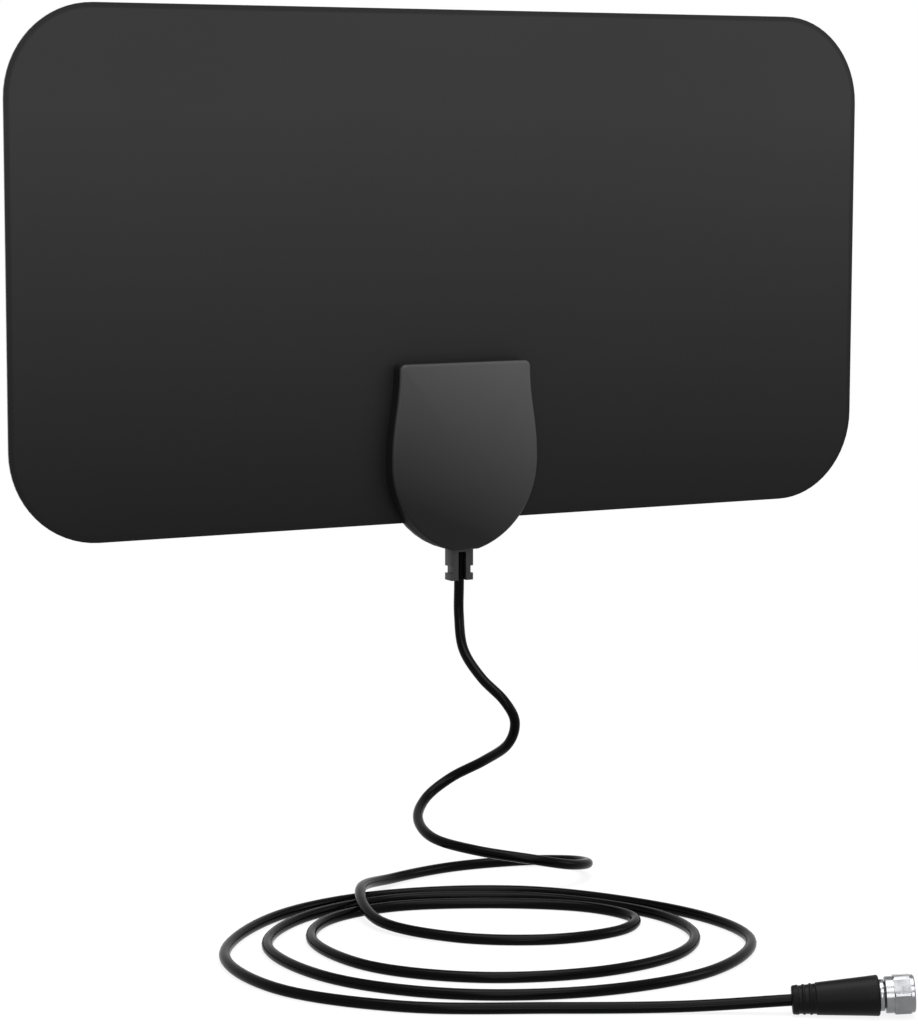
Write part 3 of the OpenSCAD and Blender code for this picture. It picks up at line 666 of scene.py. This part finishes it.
def make_lead(context):
    """The lead as one plain tube along its route."""
    lead = context.scene.antenna_lead
    plug = context.scene.antenna_plug
    points = smooth_route(lead_route(lead, plug), lead.steps)
    data = bpy.data.curves.new("lead", "CURVE")
    data.dimensions = "3D"
    data.bevel_depth = lead.diameter / 2 * MM
    data.bevel_resolution = 4
    data.use_fill_caps = True
    data.twist_mode = "MINIMUM"
    spline = data.splines.new("POLY")
    spline.points.add(len(points) - 1)
    for spot, point in zip(spline.points, points):
        spot.co = (*(point * MM), 1.0)
    spline.use_smooth = True
    thing = bpy.data.objects.new("lead", data)
    context.scene.collection.objects.link(thing)
    data.materials.append(jacket_material("jacket", lead.colour, corner("strain_relief", 0)[2]))
    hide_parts("cable")
    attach(thing, ROOT)


# Housing

def housing_outline(shell):
    """The right half of the outline, from the top corner to the tip, as (x, z) points."""
    shift = shell.nose_r - shell.width / 2
    tip_angle = math.acos((shell.tip_width / 2 + shift) / shell.nose_r)
    points = []
    corner_steps, flank_steps, nose_steps, top_steps = 8, 26, 34, 10
    flat_end = shell.top_width / 2 - shell.corner_r
    for i in range(top_steps):
        points.append((flat_end * i / top_steps, shell.top))
    for i in range(corner_steps + 1):
        a = math.radians(90 - 90 * i / corner_steps)
        points.append((flat_end + shell.corner_r * math.cos(a),
                       shell.top - shell.corner_r + shell.corner_r * math.sin(a)))
    for i in range(1, flank_steps + 1):
        t = i / flank_steps
        points.append((shell.top_width / 2 + (shell.width - shell.top_width) / 4
                       * (1 - math.cos(math.pi * t)), (shell.top - shell.corner_r) * (1 - t)))
    for i in range(nose_steps + 1):
        a = tip_angle * i / nose_steps
        points.append((shell.nose_r * math.cos(a) - shift, -shell.nose_drop - shell.nose_r * math.sin(a)))
    tip = points[-1]
    points += [(tip[0] * share, tip[1]) for share in (0.6, 0.2)]
    return points


def full_outline(shell):
    """The whole outline, as (x, z) vectors."""
    right = housing_outline(shell)
    left = [(-x, z) for x, z in reversed(right) if x > 0.001]
    return [Vector(point) for point in right + left]


def inset(outline, distance):
    """The outline moved inwards, with its corners kept square."""
    count = len(outline)
    moved = []
    for i, here in enumerate(outline):
        before = here - outline[i - 1]
        after = outline[(i + 1) % count] - here
        normals = [Vector((edge.y, -edge.x)).normalized() for edge in (before, after)]
        total = normals[0] + normals[1]
        moved.append(here + distance * total / (1 + normals[0].dot(normals[1])))
    return moved


def cover_rings(shell, start, edge, face_y, crown_steps):
    """Rings of the front cover from its side over the round edge to the crown's middle."""
    outline = full_outline(shell)
    rings = []
    edge_steps = 6
    for i in range(edge_steps + 1):
        a = math.radians(90 * i / edge_steps)
        depth = face_y + edge * (1 - math.sin(a))
        rings.append([(p.x, depth, p.y) for p in inset(outline, start + edge * (1 - math.cos(a)))])
    rim = inset(outline, start + edge)
    for i in range(1, crown_steps + 1):
        share = 1 - i / (crown_steps + 0.5)
        depth = face_y - shell.crown * (1 - share * share)
        rings.append([(p.x * share, depth, p.y * share) for p in rim])
    return rings


def make_covers(context):
    """The crowned front cover and the back cover."""
    shell = context.scene.antenna_housing
    outline = full_outline(shell)
    rim_y = LEAF_FRONT_Y - RIM_DEPTH
    outer = cover_rings(shell, 0.0, shell.edge_r, rim_y, 20)
    inner = cover_rings(shell, shell.wall, shell.edge_r / 2, rim_y + shell.wall, 8)
    foot = [(p.x, LEAF_FRONT_Y, p.y) for p in outline]
    inner_foot = [(p.x, LEAF_FRONT_Y, p.y) for p in inset(outline, shell.wall)]
    rings = list(reversed(inner)) + [inner_foot, foot] + outer
    mesh = loft("front_shell", rings, cap_start=True, cap_end=True)
    material = housing_material("housing_face", shell, rim_y)
    piece = add_object("front_shell", mesh, material, 32)
    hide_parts("front_cover")
    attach(piece, ROOT)
    back = softened("back_cover", "back_shell", shell.soft_edge,
                    plastic("housing_back", shell.back_colour, 0.55, 0.35, 0.000008, 0.06, 0.25))
    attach(back, ROOT)


# Plug

def quarter(steps):
    """The sine and cosine of a quarter turn, in equal steps."""
    return [(math.sin(math.radians(90 * i / steps)), math.cos(math.radians(90 * i / steps)))
            for i in range(steps + 1)]


def make_boot(context, place):
    """The moulded boot with its recess, turned about the plug's axis, and its rings."""
    plug = context.scene.antenna_plug
    cable_r = context.scene.antenna_lead.diameter / 2 + BORE_CLEAR
    barrel_r = plug.barrel_d / 2 + BORE_CLEAR
    thin_r = plug.boot_thin_d / 2
    slope = (plug.boot_thick_d / 2 - thin_r) / plug.boot_len
    edge, soft = 0.6, 0.25
    flank_steps = (9.0, 13.0, 17.0, 21.0)

    def outer(s, below=0.0):
        return (s, thin_r + slope * s - below)

    low, high, deep = plug.grip_start, plug.grip_end, plug.grip_deep
    profile = [(0.0, cable_r), (0.0, thin_r - edge)]
    profile += [(edge * (1 - c), thin_r - edge + edge * s) for s, c in quarter(4)[1:]]
    profile += [outer(low - soft), outer(low, soft), (low + soft * 0.4, outer(low, deep)[1]),
                (high - soft * 0.4, outer(high, deep)[1]), outer(high, soft), outer(high + soft)]
    profile += [outer(s) for s in flank_steps]
    thick_r = outer(plug.boot_len)[1]
    profile += [(plug.boot_len - edge + edge * s, thick_r - edge * (1 - c)) for s, c in quarter(4)]
    profile += [(plug.boot_len, barrel_r), (plug.boot_end_wall, barrel_r), (plug.boot_end_wall, cable_r)]
    material = plastic("boot", plug.boot_colour, 0.42, 0.3, 0.000005, 0.1, 0.08)
    piece = add_object("plug_boot", turned("plug_boot", profile, place), material, 35)
    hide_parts("connector_boot")
    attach(piece, ROOT)
    make_grips(plug, place, material)


def grip_tree(material):
    """Geometry Nodes that set raised rings along an axis, each a little wider than the last."""
    tree = bpy.data.node_groups.new("boot grips", "GeometryNodeTree")
    tree.interface.new_socket("Geometry", in_out="OUTPUT", socket_type="NodeSocketGeometry")
    tree.interface.new_socket("Count", in_out="INPUT", socket_type="NodeSocketInt")
    for label in ("Pitch", "First", "Radius", "Growth", "Section"):
        tree.interface.new_socket(label, in_out="INPUT", socket_type="NodeSocketFloat")
    given = tree.nodes.new("NodeGroupInput").outputs

    def add(kind, **values):
        return fill(tree, tree.nodes.new("GeometryNode" + kind), **values)

    step = shader_node(tree, "CombineXYZ", Z=given["Pitch"])
    first = shader_node(tree, "CombineXYZ", Z=given["First"])
    line = add("MeshLine", Count=given["Count"], Offset=step.outputs[0], Start_Location=first.outputs[0])
    ring = add("CurvePrimitiveCircle", Resolution=72, Radius=given["Radius"])
    section = add("CurvePrimitiveCircle", Resolution=10, Radius=given["Section"])
    sweep = add("CurveToMesh", Curve=ring.outputs["Curve"], Profile_Curve=section.outputs["Curve"])
    growth = maths(tree, "MULTIPLY", add("InputIndex").outputs[0], given["Growth"])
    wide = maths(tree, "ADD", growth, 1.0)
    put = add("InstanceOnPoints", Points=line.outputs["Mesh"], Instance=sweep.outputs["Mesh"],
              Scale=shader_node(tree, "CombineXYZ", X=wide, Y=wide, Z=1.0).outputs[0])
    real = add("RealizeInstances", Geometry=put.outputs["Instances"])
    paint = add("SetMaterial", Geometry=real.outputs["Geometry"], Material=material)
    fill(tree, tree.nodes.new("NodeGroupOutput"), Geometry=paint.outputs["Geometry"])
    return tree


def make_grips(plug, place, material):
    """The boot's raised rings, as one plain mesh."""
    thin_r = plug.boot_thin_d / 2
    slope = (plug.boot_thick_d / 2 - thin_r) / plug.boot_len
    radius = thin_r + slope * plug.grip_first - plug.grip_r
    carrier = bpy.data.objects.new("grip_carrier", bpy.data.meshes.new("grip_carrier"))
    bpy.context.scene.collection.objects.link(carrier)
    modifier = carrier.modifiers.new("grips", "NODES")
    tree = grip_tree(material)
    modifier.node_group = tree
    values = {"Count": plug.grip_count, "Pitch": plug.grip_pitch, "First": plug.grip_first, "Radius": radius,
              "Growth": slope * plug.grip_pitch / radius, "Section": plug.grip_r}
    for item in tree.interface.items_tree:
        if item.in_out == "INPUT":
            modifier[item.identifier] = values[item.name]
    mesh = evaluated(carrier, "boot_grips")
    bpy.data.objects.remove(carrier)
    mesh.transform(Matrix.Scale(MM, 4) @ place)
    piece = add_object("boot_grips", mesh, material, 60)
    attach(piece, ROOT)


def nut_radius(flats, turn, a):
    """Distance from the axis to a hexagon's side in the direction a."""
    sixth = math.pi / 3
    offset = (a - turn + sixth / 2) % sixth - sixth / 2
    return flats / 2 / math.cos(sixth / 2 - abs(offset))


def make_nut(context, place):
    """The nut: skirt, hexagon and rim outside, thread, keeper's room and lip inside."""
    plug = context.scene.antenna_plug
    segments = 144
    bevel, chamfer = 0.5, 0.35
    skirt_edge, hex_edge, mouth_edge = 0.25, 0.12, 0.15
    hex_start = plug.skirt_len
    hex_end = hex_start + plug.hex_len
    nut_len = hex_end + plug.rim_len
    corner_r = plug.nut_flats / 2 / math.cos(math.pi / 6)
    skirt_r = plug.skirt_d / 2
    rim_r = plug.rim_d / 2
    thread_r = plug.thread_d / 2
    lip_r = plug.journal_d / 2 + BORE_CLEAR
    keeper_r = plug.keeper_d / 2 + KEEPER_CLEAR
    keeper_end = plug.lip_len + 2 * KEEPER_CLEAR + KEEPER_LEN
    mouth_r = thread_r + plug.thread_deep + mouth_edge
    thread_end = nut_len - 2 * mouth_edge
    flank_rise = 2.6

    def round_to(radius):
        return lambda a: radius

    def hexagon(limit):
        return lambda a: min(nut_radius(plug.nut_flats, plug.hex_turn, a), limit)

    def thread(s):
        def radius(a):
            turn = (s / plug.thread_pitch - a / (2 * math.pi)) % 1.0
            return thread_r + plug.thread_deep * min(1.0, flank_rise * min(turn, 1 - turn))
        return radius

    rows = [(0.0, round_to(lip_r)), (0.0, round_to(skirt_r - skirt_edge)), (skirt_edge, round_to(skirt_r)),
            (hex_start, round_to(skirt_r)), (hex_start, hexagon(corner_r - bevel)),
            (hex_start + bevel * 0.6, hexagon(corner_r - hex_edge)),
            (hex_end - bevel * 0.6, hexagon(corner_r - hex_edge)), (hex_end, hexagon(corner_r - bevel)),
            (hex_end, round_to(rim_r)), (nut_len - chamfer, round_to(rim_r)),
            (nut_len, round_to(rim_r - chamfer)), (nut_len, round_to(mouth_r))]
    thread_step = plug.thread_pitch / 8
    rows += [(thread_end - i * thread_step, thread(nut_len - i * thread_step))
             for i in range(int((thread_end - keeper_end) / thread_step))]
    rows += [(keeper_end, round_to(keeper_r)), (plug.lip_len, round_to(keeper_r)),
             (plug.lip_len, round_to(lip_r))]
    turns = [2 * math.pi * i / segments for i in range(segments)]
    rings = [[place @ Vector((radius(a) * math.cos(a), radius(a) * math.sin(a), NUT_START + along))
              for a in turns] for along, radius in rows]
    mesh = loft("plug_nut", rings, closed=True)
    piece = add_object("plug_nut", mesh, plated("plated_nut", plug.metal_colour, plug, 0.2), 22)
    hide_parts("coupling_nut")
    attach(piece, NUT)


# Stage

def make_camera(stage):
    """The camera, with its turn built from its yaw, pitch and roll."""
    right = Vector((math.cos(stage.yaw), -math.sin(stage.yaw), 0.0))
    ahead = Vector((math.sin(stage.yaw) * math.cos(stage.pitch), math.cos(stage.yaw) * math.cos(stage.pitch),
                    -math.sin(stage.pitch)))
    down = ahead.cross(right)
    rolled_right = math.cos(stage.roll) * right + math.sin(stage.roll) * down
    rolled_down = -math.sin(stage.roll) * right + math.cos(stage.roll) * down
    turn = Matrix((rolled_right, -rolled_down, -ahead)).transposed()
    data = bpy.data.cameras.new("camera")
    data.sensor_width = SENSOR_MM
    data.lens = stage.focal_px * SENSOR_MM / IMAGE_HEIGHT_PX
    camera = bpy.data.objects.new("camera", data)
    place = Vector((stage.camera_x, stage.camera_y, stage.camera_z)) * MM
    camera.matrix_world = Matrix.Translation(place) @ turn.to_4x4()
    bpy.context.scene.collection.objects.link(camera)
    bpy.context.scene.camera = camera


def softbox(name, place, target, width, height, power):
    """A soft rectangular lamp at place that faces target, in metres."""
    data = bpy.data.lights.new(name, "AREA")
    data.shape = "RECTANGLE"
    data.size = width
    data.size_y = height
    data.energy = power
    lamp = bpy.data.objects.new(name, data)
    ahead = (Vector(target) - Vector(place)).normalized()
    lamp.matrix_world = Matrix.Translation(place) @ ahead.to_track_quat("-Z", "Y").to_matrix().to_4x4()
    bpy.context.scene.collection.objects.link(lamp)


def seen_as_background(tree):
    """1 where a ray comes from the camera, a mirror or glass, else 0."""
    path = tree.nodes.new("ShaderNodeLightPath")
    value = maths(tree, "MAXIMUM", path.outputs["Is Camera Ray"], path.outputs["Is Glossy Ray"])
    return maths(tree, "MAXIMUM", value, path.outputs["Is Transmission Ray"])


def make_world(light):
    """A world that lights softly and is seen as plain white."""
    world = bpy.data.worlds.new("studio")
    bpy.context.scene.world = world
    world.use_nodes = True
    tree = world.node_tree
    white = (1.0, 1.0, 1.0, 1.0)
    shown = fill(tree, tree.nodes["Background"], Color=white)
    lit = shader_node(tree, "Background", Color=white, Strength=light)
    both = shader_node(tree, "MixShader", Fac=seen_as_background(tree))
    tree.links.new(lit.outputs[0], both.inputs[1])
    tree.links.new(shown.outputs[0], both.inputs[2])
    tree.links.new(both.outputs[0], tree.nodes["World Output"].inputs["Surface"])


def make_floor(stage):
    """A pale floor that shows white, with the shadow kept near the object."""
    bm = bmesh.new()
    half = 3000.0
    spots = [(-half, -half), (half, -half), (half, half), (-half, half)]
    bm.faces.new([bm.verts.new((x, y, stage.floor_z)) for x, y in spots])
    mesh = finished(bm, "floor")
    material, tree, shader = new_material("floor", 0.9, specular=0.1)
    fill(tree, shader, Base_Color=stage.floor_colour)
    glow = shader_node(tree, "Emission", Strength=1.0)
    far = tree.nodes.new("ShaderNodeVectorMath")
    far.operation = "LENGTH"
    fill(tree, far, Vector=object_vector(tree))
    share = ranged(tree, far.outputs["Value"], 0.84, 1.0, 0.25, 0.6)
    both = shader_node(tree, "MixShader", Fac=maths(tree, "MULTIPLY", seen_as_background(tree), share))
    tree.links.new(shader.outputs[0], both.inputs[1])
    tree.links.new(glow.outputs[0], both.inputs[2])
    tree.links.new(both.outputs[0], tree.nodes["Material Output"].inputs["Surface"])
    floor = add_object("floor", mesh, material)


class ANTENNA_OT_stage(bpy.types.Operator):
    """Sets up the camera, the floor and the studio light"""

    bl_idname = "antenna.stage"
    bl_label = "Stage"

    def execute(self, context):
        stage = context.scene.antenna_stage
        context.scene.view_settings.view_transform = "Standard"
        make_camera(stage)
        make_world(WORLD_LIGHT)
        make_floor(stage)
        for name, lamp in LAMPS.items():
            softbox(name, *lamp)
        return {"FINISHED"}


class ANTENNA_OT_lead(bpy.types.Operator):
    """Lays the coaxial lead along its route"""

    bl_idname = "antenna.lead"
    bl_label = "Lead"

    def execute(self, context):
        make_lead(context)
        return {"FINISHED"}


class ANTENNA_OT_leaf(bpy.types.Operator):
    """Finishes the films, the foil and the bond film of the leaf"""

    bl_idname = "antenna.leaf"
    bl_label = "Leaf"

    def execute(self, context):
        leaf = context.scene.antenna_leaf
        film = film_material("film", leaf, corner("front_film", 0)[2], corner("front_film", 1)[2])
        for node in ("front_film", "back_film"):
            dress(node, film)
        dress("bond_film", plastic("bond", leaf.bond_colour, 0.6, 0.6, 0.00001))
        foil = foil_material("foil", leaf.foil_colour)
        for node in ("element_left", "element_right"):
            dress(node, foil)
        return {"FINISHED"}


class ANTENNA_OT_housing(bpy.types.Operator):
    """Makes the crowned front cover and the back cover"""

    bl_idname = "antenna.housing"
    bl_label = "Housing"

    def execute(self, context):
        make_covers(context)
        return {"FINISHED"}


class ANTENNA_OT_inside(bpy.types.Operator):
    """Finishes the pieces inside the housing"""

    bl_idname = "antenna.inside"
    bl_label = "Inside"

    def execute(self, context):
        plug = context.scene.antenna_plug
        inside = context.scene.antenna_inside
        board = plastic("board", inside.board_colour, 0.35, 1.2, 0.00001)
        ferrite = plastic("ferrite", inside.ferrite_colour, 0.7, 0.3, 0.00002)
        ceramic = plastic("ceramic", inside.ceramic_colour, 0.5, 0.2, 0.000005)
        copper = plated("copper", inside.copper_colour, plug, 0.3)
        gold = plated("gold", inside.gold_colour, plug, 0.22)
        steel = plated("clamp_steel", inside.steel_colour, plug, 0.3)
        milky = plastic("core_plastic", plug.insulator_colour, 0.4, 0.3, 0.000003)
        for node, material in (
            ("circuit_board", board), ("transformer_core", ferrite), ("capacitor_left", ceramic),
            ("capacitor_right", ceramic), ("transformer_winding", copper), ("braid_tail", copper),
            ("contact_left", gold), ("contact_right", gold), ("cable_clamp", steel), ("cable_core", milky),
        ):
            dress(node, material)
        return {"FINISHED"}


class ANTENNA_OT_relief(bpy.types.Operator):
    """Makes the strain relief with softened edges"""

    bl_idname = "antenna.relief"
    bl_label = "Strain relief"

    def execute(self, context):
        relief = context.scene.antenna_relief
        material = plastic("relief", relief.colour, 0.45, 0.3, 0.000006, 0.08, 0.3)
        piece = softened("strain_relief", "relief_sleeve", relief.soft_edge, material)
        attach(piece, ROOT)
        return {"FINISHED"}


class ANTENNA_OT_plug(bpy.types.Operator):
    """Makes the boot with its rings and finishes the plug's metal and insulator"""

    bl_idname = "antenna.plug"
    bl_label = "Plug"

    def execute(self, context):
        plug = context.scene.antenna_plug
        place = plug_matrix(plug)
        make_boot(context, place)
        metal = plated("plated_body", plug.metal_colour, plug)
        body = softened("connector_body", "plug_body", 0.15, metal)
        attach(body, ROOT)
        dress("crimp_ferrule", metal)
        dress("insulator", plastic("insulator", plug.insulator_colour, 0.35, 0.3, 0.000002))
        dress("centre_pin", plated("pin_metal", plug.pin_colour, plug, 0.2))
        return {"FINISHED"}


class ANTENNA_OT_nut(bpy.types.Operator):
    """Makes the turning nut with its hexagon and inner thread"""

    bl_idname = "antenna.nut"
    bl_label = "Nut"

    def execute(self, context):
        make_nut(context, plug_matrix(context.scene.antenna_plug))
        return {"FINISHED"}


class ANTENNA_OT_declare(bpy.types.Operator):
    bl_idname = "antenna.declare"
    bl_label = "Declare the lead"

    def execute(self, context):
        objects = bpy.data.objects
        ends = [objects[name] for name in ("plug_boot", "boot_grips", "plug_body", "plug_nut")]
        ends += [frame["nodes"][name] for name in ("crimp_ferrule", "insulator", "centre_pin")]
        return {"FINISHED"}


OPERATORS = (
    ANTENNA_OT_stage, ANTENNA_OT_lead, ANTENNA_OT_leaf, ANTENNA_OT_housing, ANTENNA_OT_inside,
    ANTENNA_OT_relief, ANTENNA_OT_plug, ANTENNA_OT_nut, ANTENNA_OT_declare,
)


class ANTENNA_PT_panel(bpy.types.Panel):
    """Lists the antenna's pieces"""

    bl_idname = "ANTENNA_PT_panel"
    bl_label = "Antenna"
    bl_space_type = "VIEW_3D"
    bl_region_type = "UI"
    bl_category = "Antenna"

    def draw(self, context):
        for operator in OPERATORS:
            self.layout.operator(operator.bl_idname)
        for name, settings in SETTINGS.items():
            box = self.layout.box()
            for label in settings.__annotations__:
                box.prop(getattr(context.scene, name), label)


def register():
    for settings in SETTINGS.values():
        bpy.utils.register_class(settings)
    for name, settings in SETTINGS.items():
        setattr(bpy.types.Scene, name, PointerProperty(type=settings))
    for operator in OPERATORS:
        bpy.utils.register_class(operator)
    bpy.utils.register_class(ANTENNA_PT_panel)


def unregister():
    bpy.utils.unregister_class(ANTENNA_PT_panel)
    for operator in reversed(OPERATORS):
        bpy.utils.unregister_class(operator)
    for name in SETTINGS:
        delattr(bpy.types.Scene, name)
    for settings in reversed(list(SETTINGS.values())):
        bpy.utils.unregister_class(settings)


def main():
    """Builds the antenna and its stage."""
    register()
    bpy.ops.antenna.stage()
    bpy.ops.antenna.lead()
    bpy.ops.antenna.leaf()
    bpy.ops.antenna.housing()
    bpy.ops.antenna.inside()
    bpy.ops.antenna.relief()
    bpy.ops.antenna.plug()
    bpy.ops.antenna.nut()
    bpy.ops.antenna.declare()


if __name__ == "__main__":
    main()
